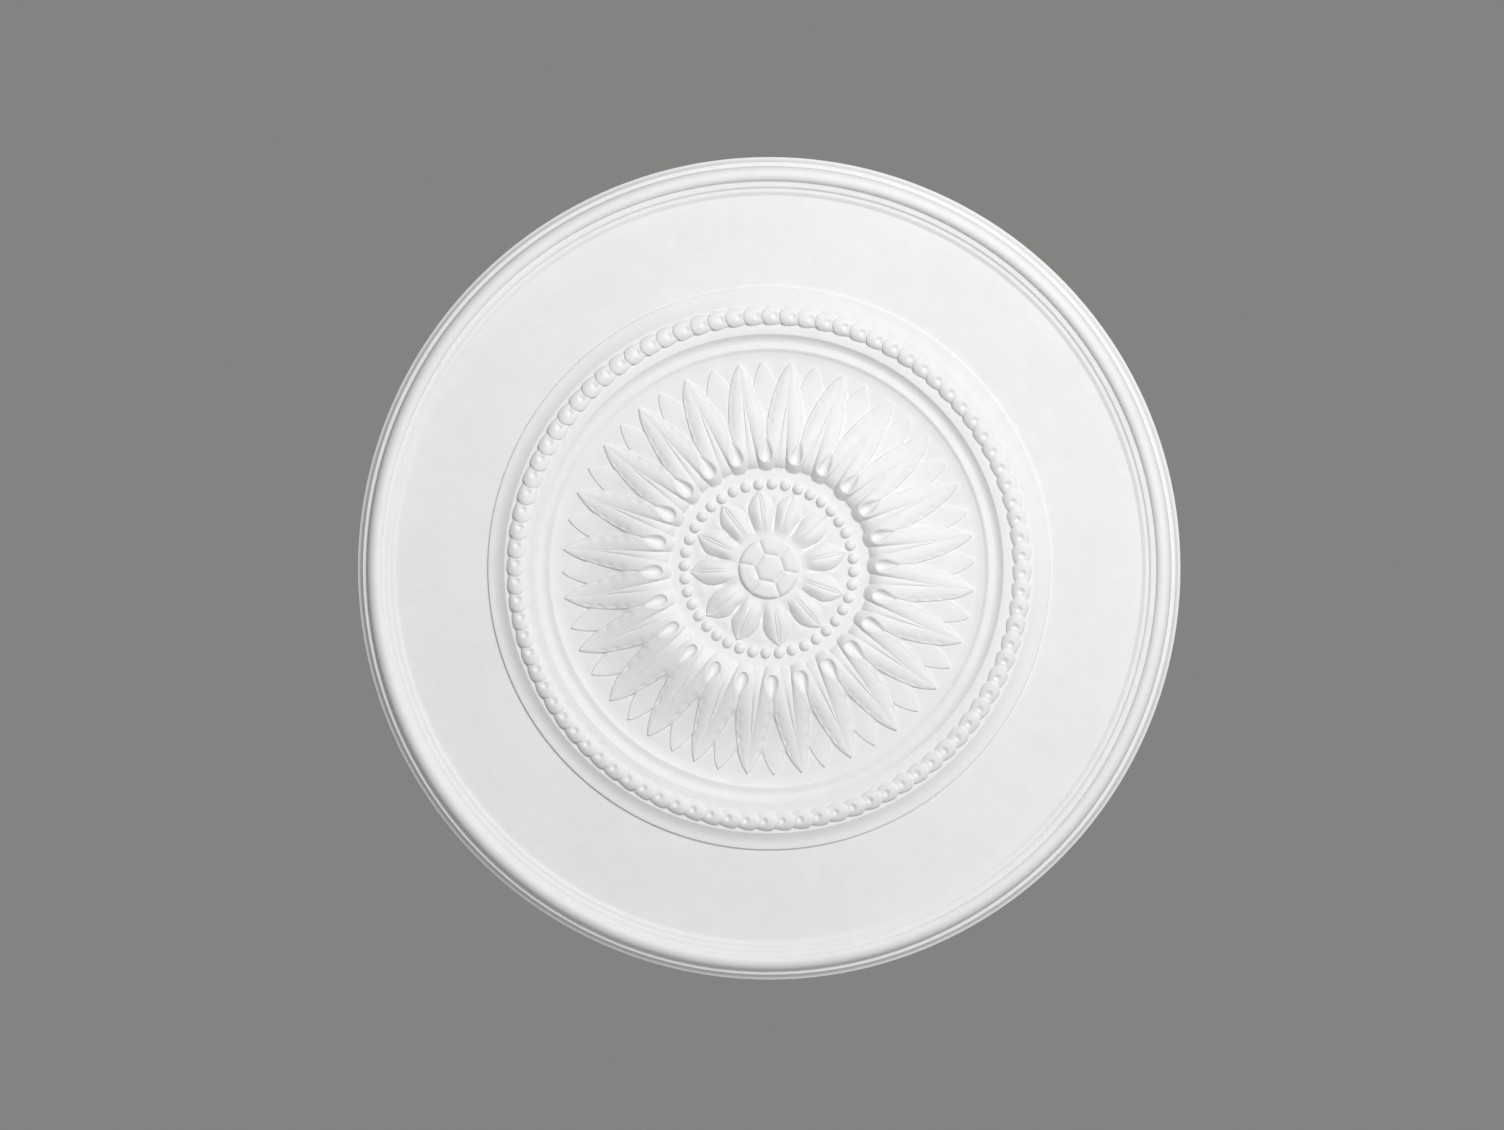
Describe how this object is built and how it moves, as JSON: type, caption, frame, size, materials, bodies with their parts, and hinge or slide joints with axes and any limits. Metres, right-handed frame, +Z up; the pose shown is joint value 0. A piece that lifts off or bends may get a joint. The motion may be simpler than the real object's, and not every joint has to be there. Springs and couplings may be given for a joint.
{
  "type": "ceiling rose",
  "caption": "Round white plaster ceiling rose with a moulded rim, a raised ring of overlapping coins, a ring of pointed leaves, pearls and a flower.",
  "frame": {"origin": "centre of the flat back that is fixed to the ceiling", "axes": "+Z up as in the picture, -Y out of the carved face, +Y into the ceiling, +X to the viewer's right. The rose is modelled upright, facing the viewer as pictured; to go under a ceiling it is turned a quarter turn about X, so that the axis of mount back points up."},
  "size_m": [0.7, 0.0269, 0.7],
  "materials": {
    "plaster": "matte"
  },
  "bodies": {
    "root": {"ceiling_rose": "plaster"}
  },
  "joints": []
}
